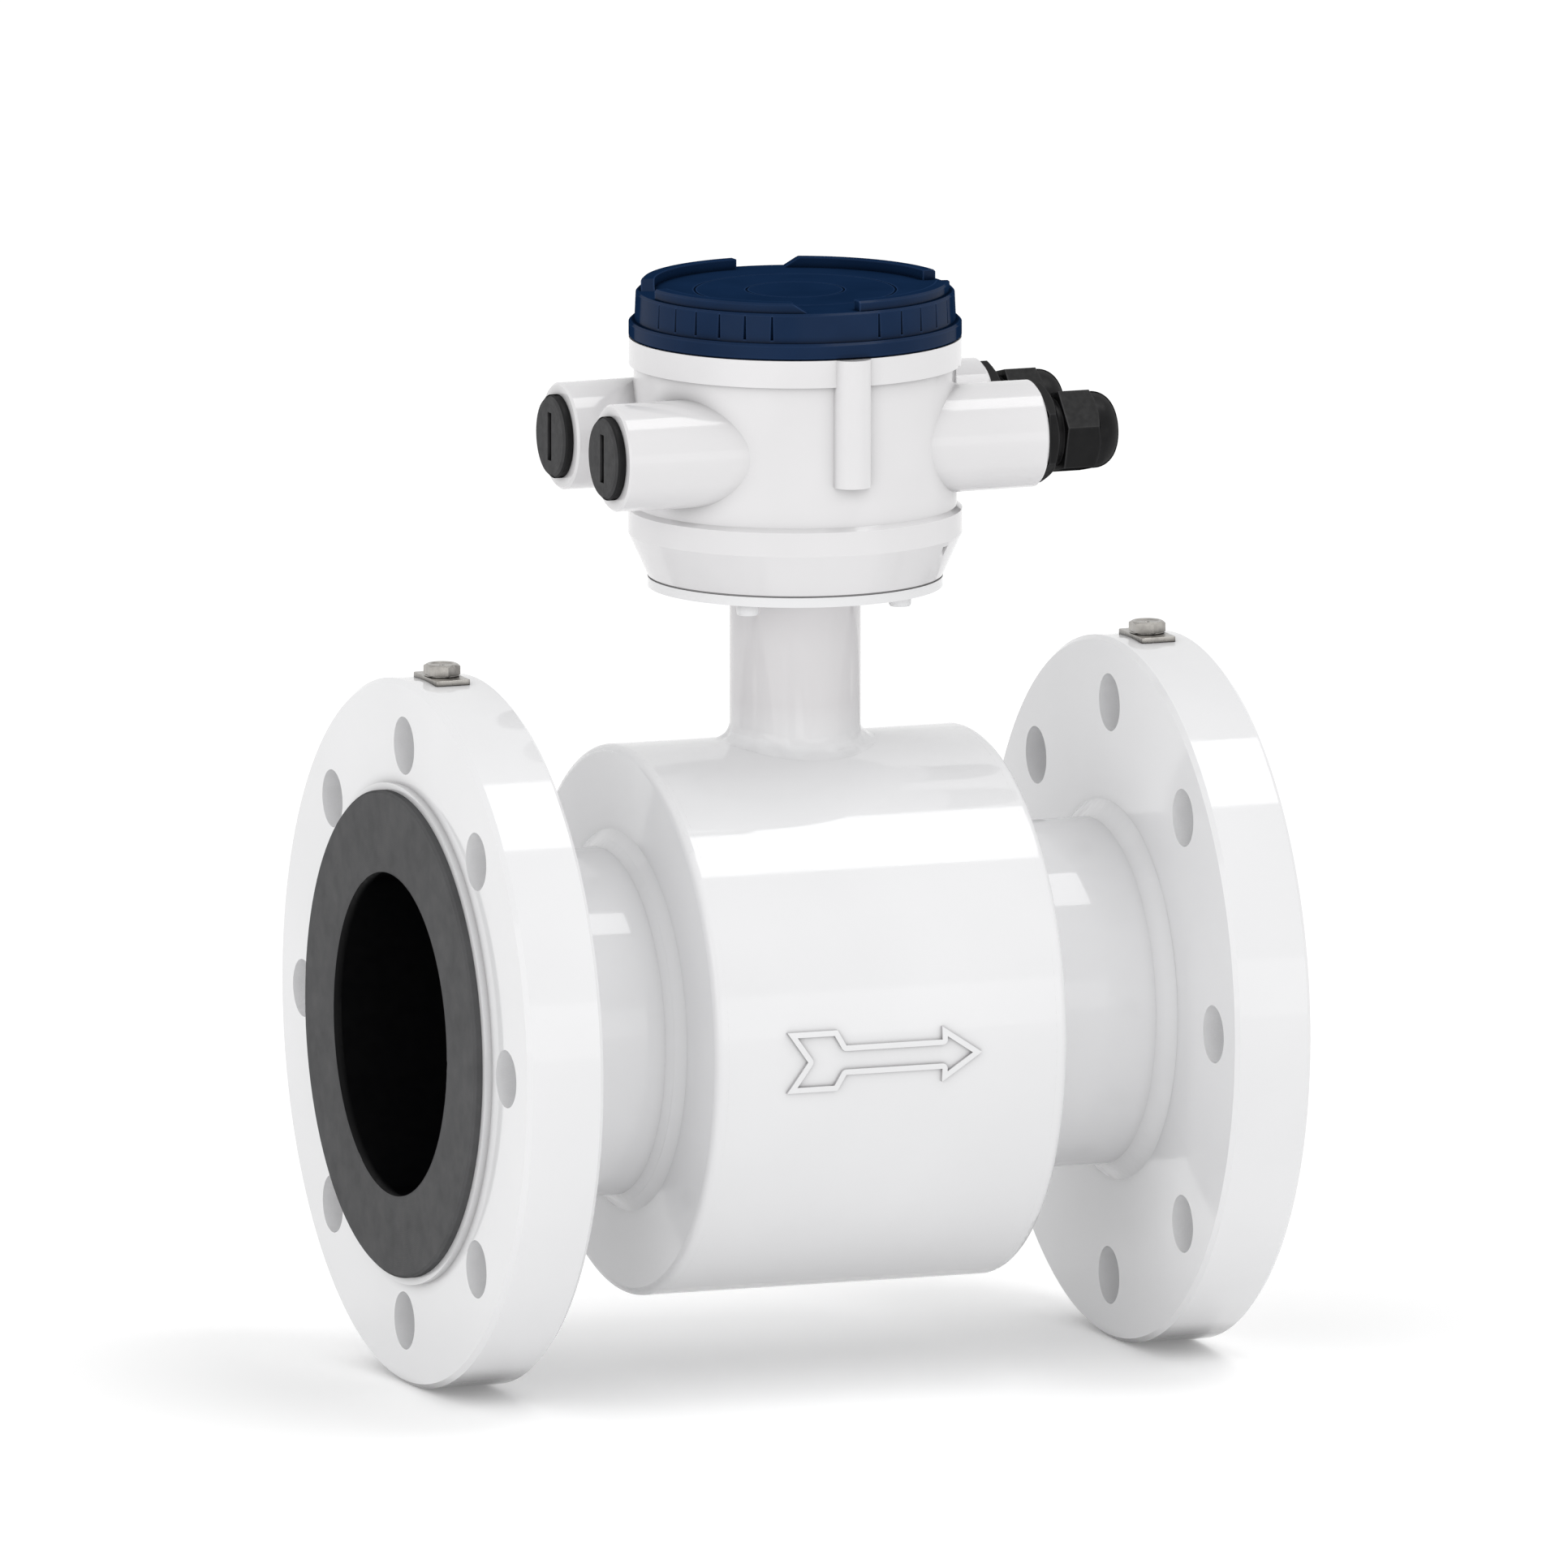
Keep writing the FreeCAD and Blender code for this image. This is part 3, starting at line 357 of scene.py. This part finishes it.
def entry_thread(look):
    """The 20 mm thread of the glands and plugs, at either side of the head's bosses."""
    x, y, z = look.axes()
    out = look.sum("SUBTRACT", look.sum("ABSOLUTE", y), ENTRY_Y)
    up = look.sum("SUBTRACT", z, ENTRY_Z)
    far = look.sum("ABSOLUTE", x)
    thread = look.both(look.within(look.radius(out, up), 9.6 * MM, 10.2 * MM),
                       look.within(far, 57.8 * MM, 85 * MM))
    return look.ridges(far, ENTRY_PITCH, thread)


def gland_plastic():
    """Black polyamide with a fine spark-eroded grain."""
    look = Look("gland_plastic", IOR=1.53)
    look.colour(look.grain(0.004, 3.0), linear(17, 17, 18), linear(23, 23, 24))
    # Painted highlight along the outer edges.
    look.edges(0.0007, linear(52, 52, 53))
    look.shine(0.12)
    look.roughness(look.grain(0.0015, 3.0), 0.3, 0.42)
    look.relief((look.grain(0.0003, 3.0), 8e-6), (entry_thread(look), 4e-4))
    return look.material


def plug_plastic():
    """Dark grey polyamide."""
    look = Look("plug_plastic", IOR=1.53)
    look.colour(look.grain(0.004, 3.0), linear(60, 60, 61), linear(68, 68, 69))
    x, y, z = look.axes()
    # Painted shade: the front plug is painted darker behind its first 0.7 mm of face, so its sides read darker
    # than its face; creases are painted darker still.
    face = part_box("front_blanking_plug")[0].x
    look.tint(look.within(x, face + 0.7 * MM, 0), linear(28, 28, 29))
    look.painted_crease_shade(0.0025, linear(12, 12, 12))
    look.shine(0.12)
    look.roughness(look.grain(0.0015, 3.0), 0.38, 0.5)
    look.relief((look.grain(0.0003, 3.0), 8e-6), (entry_thread(look), 4e-4))
    return look.material


def plated_steel():
    """Nickel-plated steel, a little warm, with faint drawing lines."""
    look = Look("plated_steel", Metallic=1.0)
    look.colour(look.grain(0.003, 3.0), linear(150, 147, 143), linear(176, 173, 168))
    # Painted shade in corners and creases.
    look.painted_crease_shade(0.003, linear(72, 70, 68))
    look.roughness(look.grain(0.001, 3.0, (1, 1, 0.2)), 0.24, 0.38)
    x, y, z = look.axes()
    side = look.sum("SUBTRACT", look.sum("ABSOLUTE", x), EARTH_X)
    thread = look.both(look.within(look.radius(side, y), 2.7 * MM, 3.05 * MM),
                       look.within(z, 102 * MM, 112 * MM))
    look.relief((look.grain(0.0006, 2.0, (1, 1, 0.15)), 5e-6),
                (look.ridges(z, EARTH_PITCH, thread), 3e-4))
    return look.material


def electrode_steel():
    """Polished stainless steel with turning marks round the stem."""
    look = Look("electrode_steel", Metallic=1.0)
    look.colour(look.grain(0.002, 3.0), linear(196, 197, 198), linear(212, 213, 214))
    look.roughness(look.grain(0.001, 3.0), 0.14, 0.24)
    look.relief((look.lines(0.0003, "Y", rings=True), 2e-6))
    return look.material


def magnet_iron():
    """Soft iron with a dark oxide skin."""
    look = Look("magnet_iron", Metallic=1.0)
    look.colour(look.grain(0.006, 4.0), linear(88, 86, 84), linear(122, 119, 116))
    look.roughness(look.grain(0.003, 4.0), 0.4, 0.6)
    look.relief((look.grain(0.001, 3.0), 1.5e-5))
    return look.material


def coil_copper():
    """Enamelled copper wire, wound turn by turn."""
    look = Look("coil_copper", Metallic=1.0)
    look.colour(look.lines(0.0007, "Z"), linear(150, 74, 38), linear(205, 118, 70))
    look.roughness(look.grain(0.002, 3.0), 0.25, 0.38)
    look.relief((look.lines(0.0007, "Z"), 1.4e-4), (look.lines(0.0007, "Z", rings=True), 1.4e-4))
    return look.material


def white_plastic():
    look = Look("white_plastic", IOR=1.46)
    look.colour(look.grain(0.004, 3.0), linear(222, 221, 216), linear(232, 231, 227))
    look.roughness(look.grain(0.002, 3.0), 0.32, 0.45)
    look.relief((look.grain(0.0006, 3.0), 5e-6))
    return look.material


def sleeve_plastic():
    """Braided sleeve over the signal leads."""
    look = Look("sleeve_plastic", IOR=1.5)
    look.colour(look.lines(0.0012, "DIAGONAL"), linear(38, 38, 40), linear(74, 74, 76))
    look.roughness(look.grain(0.002, 3.0), 0.45, 0.6)
    look.relief((look.lines(0.0012, "DIAGONAL"), 1.5e-4))
    return look.material


def module_plastic():
    """Black shell round the potted electronics."""
    look = Look("module_plastic", IOR=1.5)
    look.colour(look.grain(0.006, 3.0), linear(24, 24, 26), linear(34, 34, 36))
    look.roughness(look.grain(0.002, 3.0), 0.42, 0.55)
    look.relief((look.grain(0.0007, 3.0), 1.2e-5))
    return look.material


def board_laminate():
    """Green solder mask over glass weave."""
    look = Look("board_laminate", IOR=1.55)
    look.colour(look.lines(0.0009, "X"), linear(16, 72, 44), linear(24, 92, 56))
    look.roughness(look.grain(0.003, 3.0), 0.24, 0.36)
    look.relief((look.lines(0.0009, "X"), 6e-6), (look.lines(0.0009, "Y"), 6e-6))
    return look.material


def terminal_plastic():
    look = Look("terminal_plastic", IOR=1.5)
    look.colour(look.grain(0.003, 3.0), linear(126, 130, 133), linear(140, 144, 147))
    look.roughness(look.grain(0.002, 3.0), 0.36, 0.5)
    look.relief((look.grain(0.0005, 3.0), 8e-6))
    return look.material


LOOKS = (sensor_paint, head_paint, lid_paint, liner_rubber, seal_rubber, gland_plastic,
         plug_plastic, plated_steel, electrode_steel, magnet_iron, coil_copper, white_plastic,
         sleeve_plastic, module_plastic, board_laminate, terminal_plastic)
materials = {make.__name__: make() for make in LOOKS}


def dress_nodes():
    """Each CAD node takes the material of its slot in the record."""
    for part in frame["record"]["subparts"]:
        shape = nodes[part["node"]]
        look = materials[part["material_slot"]]
        for slot in shape.material_slots:
            slot.material = look


# ---- Pieces of the scene's own -------------------------------------------------------------
def add_piece(name, mesh, slot, body="meter_body", crease=50):
    """A finished mesh as a piece that rides on a body, in the look of a slot of the record.

    Creases sharper than the given degrees stay sharp under smooth shading.
    """
    made = bpy.data.meshes.new(name)
    bmesh.ops.recalc_face_normals(mesh, faces=mesh.faces)
    mesh.to_mesh(made)
    mesh.free()
    made.shade_smooth()
    made.set_sharp_from_angle(angle=math.radians(crease))
    piece = bpy.data.objects.new(name, made)
    bpy.context.scene.collection.objects.link(piece)
    made.materials.append(materials[slot])
    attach(piece, body)
    return piece


def loft(mesh, rings):
    """Quads between closed rings of vertices, and between the last ring and the first."""
    rows = [[mesh.verts.new(point) for point in ring] for ring in rings]
    for row, following in zip(rows, rows[1:] + rows[:1]):
        for i, corner in enumerate(row):
            n = (i + 1) % len(row)
            mesh.faces.new((corner, row[n], following[n], following[i]))


def at(value, angle):
    """A number, or a function's value at an angle."""
    return value(angle) if callable(value) else value


def ring(x, y, radius, height, sides):
    """Points round an upright axis. Radius and height are numbers, or functions of the angle."""
    angles = [FULL_TURN * i / sides for i in range(sides)]
    return [(x + at(radius, a) * math.cos(a), y + at(radius, a) * math.sin(a), at(height, a)) for a in angles]


def neck_with_weld():
    """The neck with its weld ground to a hollow fillet, a little lumpy under the paint."""
    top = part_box("neck_tube")[1].z

    def saddle(radius, angle):
        return math.sqrt(BARREL_RADIUS ** 2 - (radius * math.sin(angle)) ** 2)

    rings = [ring(0, 0, NECK_RADIUS, top, NECK_SIDES)]
    for step in range(WELD_STEPS + 1):
        turn = math.pi / 2 * step / WELD_STEPS

        def lump(a):
            place = Vector((5 * math.cos(a), 5 * math.sin(a), 1.1 * turn))
            return WELD_LUMP * noise.noise(place) * math.sin(2 * turn)

        def out(a):
            return NECK_RADIUS + WELD_LEG * (1 - math.cos(turn)) + lump(a)

        def up(a):
            return saddle(out(a), a) + WELD_LEG * (1 - math.sin(turn)) + lump(a)

        rings.append(ring(0, 0, out, up, NECK_SIDES))
    for radius in (NECK_RADIUS + WELD_LEG, NECK_BORE):
        rings.append(ring(0, 0, radius, lambda a: saddle(radius, a) - WELD_SINK, NECK_SIDES))
    rings.append(ring(0, 0, NECK_BORE, top, NECK_SIDES))
    mesh = bmesh.new()
    loft(mesh, rings)
    piece = add_piece("neck_with_weld", mesh, "sensor_paint")
    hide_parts("neck_tube")


def hexagon(flats, angle):
    """Half the width of a hexagon, of that width across flats, towards an angle."""
    return flats / 2 / math.cos((angle + math.pi / 6) % (math.pi / 3) - math.pi / 6)


def cap(mesh, x, y, rings, sides=72):
    """A turned or hexagonal solid round an upright axis, from its lowest (radius, height) to its highest."""
    rows = [[mesh.verts.new(point) for point in ring(x, y, radius, height, sides)] for radius, height in rings]
    for row, following in zip(rows, rows[1:]):
        for i in range(sides):
            n = (i + 1) % sides
            mesh.faces.new((row[i], row[n], following[n], following[i]))
    mesh.faces.new(rows[0][::-1])
    mesh.faces.new(rows[-1])


def earth_terminal(side):
    """Strap plate, thin washer and low hexagon bolt, as the photograph shows them."""
    bolt, washer, plate = (side + "_earth_" + part for part in ("bolt", "washer", "plate"))
    low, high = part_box(plate)
    x = (low.x + high.x) / 2
    z = low.z
    mesh = bmesh.new()
    bmesh.ops.create_cube(mesh, size=1.0)
    for corner in mesh.verts:
        across, along, up = corner.co
        corner.co = (x + across * PLATE_WIDTH, along * PLATE_LENGTH, z + (up + 0.5) * PLATE_THICK)
    upright = [e for e in mesh.edges if abs(e.verts[0].co.z - e.verts[1].co.z) > PLATE_THICK / 2]
    bmesh.ops.bevel(mesh, geom=upright, offset=PLATE_CORNER, segments=6, profile=0.5, affect="EDGES")
    around = [e for e in mesh.edges if abs(e.verts[0].co.z - e.verts[1].co.z) < 1e-6]
    bmesh.ops.bevel(mesh, geom=around, offset=PLATE_EDGE, segments=3, profile=0.5, affect="EDGES")
    piece = add_piece(side + "_strap_plate", mesh, "plated_steel")
    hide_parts(plate)

    seat = z + PLATE_THICK
    mesh = bmesh.new()
    cap(mesh, x, 0, [(WASHER_RADIUS - WASHER_EDGE, seat),
                     (WASHER_RADIUS, seat + WASHER_EDGE),
                     (WASHER_RADIUS, seat + WASHER_THICK - WASHER_EDGE),
                     (WASHER_RADIUS - WASHER_EDGE, seat + WASHER_THICK)])
    piece = add_piece(side + "_thin_washer", mesh, "plated_steel", washer)
    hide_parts(washer)

    seat += WASHER_THICK
    top = seat + HEAD_HEIGHT
    crown = HEAD_FLATS / 2 - HEAD_CROWN

    def flat(a):
        return hexagon(HEAD_FLATS, a)

    def rim(a):
        return top - (flat(a) - crown) * math.tan(HEAD_CHAMFER)

    stem_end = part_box(bolt)[0].z
    mesh = bmesh.new()
    stem = [(EARTH_STEM - STEM_CHAMFER, stem_end), (EARTH_STEM, stem_end + STEM_CHAMFER), (EARTH_STEM, seat)]
    head = [(flat, seat), (flat, rim), (crown, top)]
    dish = [(crown - 0.7 * MM, top), (crown - 1.3 * MM, top - 0.35 * MM)]
    pit = [(0.9 * MM, top - 0.45 * MM), (0.5 * MM, top - 0.9 * MM)]
    cap(mesh, x, 0, stem + head + dish + pit)
    piece = add_piece(side + "_earth_hexagon", mesh, "plated_steel", bolt, crease=25)
    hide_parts(bolt)


def flange_screws():
    """Four pan-head screws with washers under the head, painted over with the base plate."""
    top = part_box("base_screws")[1].z
    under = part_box("base_plate")[0].z
    low = under - SCREW_HEAD
    head = [(SCREW_RADIUS - inset, low + up) for inset, up in SCREW_CROWN]
    washer = [(SCREW_RADIUS, under - WASHER_GAUGE), (SCREW_RADIUS + WASHER_LIP, under - WASHER_GAUGE),
              (SCREW_RADIUS + WASHER_LIP, under + WASHER_SINK), (SCREW_SHANK, under + WASHER_SINK)]
    shank = [(SCREW_SHANK, top - SCREW_TIP), (SCREW_SHANK - SCREW_TIP, top)]
    mesh = bmesh.new()
    for x in (-SCREW_PLACE, SCREW_PLACE):
        for y in (-SCREW_PLACE, SCREW_PLACE):
            cap(mesh, x, y, head + washer + shank, SCREW_SIDES)
    piece = add_piece("base_plate_screws", mesh, "sensor_paint", crease=40)
    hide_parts("base_screws")


# ---- Floor, light and camera -------------------------------------------------------------
def seen_rays(tree):
    """One for the rays of the camera, of gloss and of glass, and nought for the light itself."""
    path = tree.nodes.new("ShaderNodeLightPath")
    seen = path.outputs["Is Camera Ray"]
    for ray in ("Is Glossy Ray", "Is Transmission Ray"):
        either = tree.nodes.new("ShaderNodeMath")
        either.operation = "MAXIMUM"
        tree.links.new(seen, either.inputs[0])
        tree.links.new(path.outputs[ray], either.inputs[1])
        seen = either.outputs["Value"]
    return seen


def studio_floor():
    """Pale floor that reads as white where nothing shades it, and keeps the shadows."""
    mesh = bpy.data.meshes.new("floor")
    corners = [(x * FLOOR_HALF, y * FLOOR_HALF, floor_z) for x, y in ((-1, -1), (1, -1), (1, 1), (-1, 1))]
    mesh.from_pydata(corners, [], [(0, 1, 2, 3)])
    floor = bpy.data.objects.new("floor", mesh)
    bpy.context.scene.collection.objects.link(floor)
    look = Look("floor", Base_Color=(FLOOR_TONE, FLOOR_TONE, FLOOR_TONE, 1), Roughness=0.9)
    look.shader.inputs["Specular IOR Level"].default_value = 0.0
    look.shader.inputs["Emission Color"].default_value = WHITE
    lift = look.node("ShaderNodeMapRange", To_Min=0.0, To_Max=FLOOR_LIFT)
    look.join(seen_rays(look.tree), lift, "Value")
    look.join(lift.outputs["Result"], look.shader, "Emission Strength")
    mesh.materials.append(look.material)


def studio_world():
    """Even grey light, seen as white by the camera and in gloss and glass."""
    world = bpy.data.worlds.new("studio")
    bpy.context.scene.world = world
    world.use_nodes = True
    tree = world.node_tree
    background = tree.nodes["Background"]
    background.inputs["Color"].default_value = WHITE
    level = tree.nodes.new("ShaderNodeMapRange")
    level.inputs["To Min"].default_value = AMBIENT
    level.inputs["To Max"].default_value = 1.0
    tree.links.new(seen_rays(tree), level.inputs["Value"])
    tree.links.new(level.outputs["Result"], background.inputs["Strength"])


def softbox(name, place, width, height, glow):
    """A rectangular lamp that faces the part and glows with the given radiance."""
    lamp = bpy.data.lights.new(name, "AREA")
    lamp.shape = "RECTANGLE"
    lamp.size = width
    lamp.size_y = height
    lamp.energy = glow * math.pi * width * height
    holder = bpy.data.objects.new(name, lamp)
    bpy.context.scene.collection.objects.link(holder)
    holder.location = place
    holder.rotation_euler = (AIM - Vector(place)).to_track_quat("-Z", "Y").to_euler()


def studio_sun():
    """A broad lamp overhead that leaves one bright band along every tube and rim."""
    lamp = bpy.data.lights.new("overhead", "SUN")
    lamp.energy = SUN_GLOW * math.pi
    lamp.angle = SUN_ANGLE
    holder = bpy.data.objects.new("overhead", lamp)
    bpy.context.scene.collection.objects.link(holder)
    holder.rotation_euler = (-SUN_DIRECTION).to_track_quat("-Z", "Y").to_euler()


def studio_camera():
    camera = bpy.data.objects.new("camera", bpy.data.cameras.new("camera"))
    bpy.context.scene.collection.objects.link(camera)
    camera.data.lens = VIEW_LENS
    camera.data.sensor_width = SENSOR
    camera.data.clip_end = 4 * VIEW_DISTANCE
    level = math.cos(VIEW_ELEVATION)
    towards = Vector((level * math.sin(VIEW_AZIMUTH), -level * math.cos(VIEW_AZIMUTH),
                      math.sin(VIEW_ELEVATION)))
    camera.location = AIM + towards * VIEW_DISTANCE
    camera.rotation_euler = (-towards).to_track_quat("-Z", "Y").to_euler()
    bpy.context.scene.camera = camera
    bpy.context.scene.view_settings.view_transform = "Standard"


dress_nodes()
neck_with_weld()
earth_terminal("inlet")
earth_terminal("outlet")
flange_screws()
studio_floor()
studio_world()
studio_sun()
softbox("side_light", (-1.70, -1.20, 0.60), 1.6, 1.4, 0.95)
softbox("front_light", (0.35, -1.95, 0.25), 2.2, 0.60, 0.75)
studio_camera()
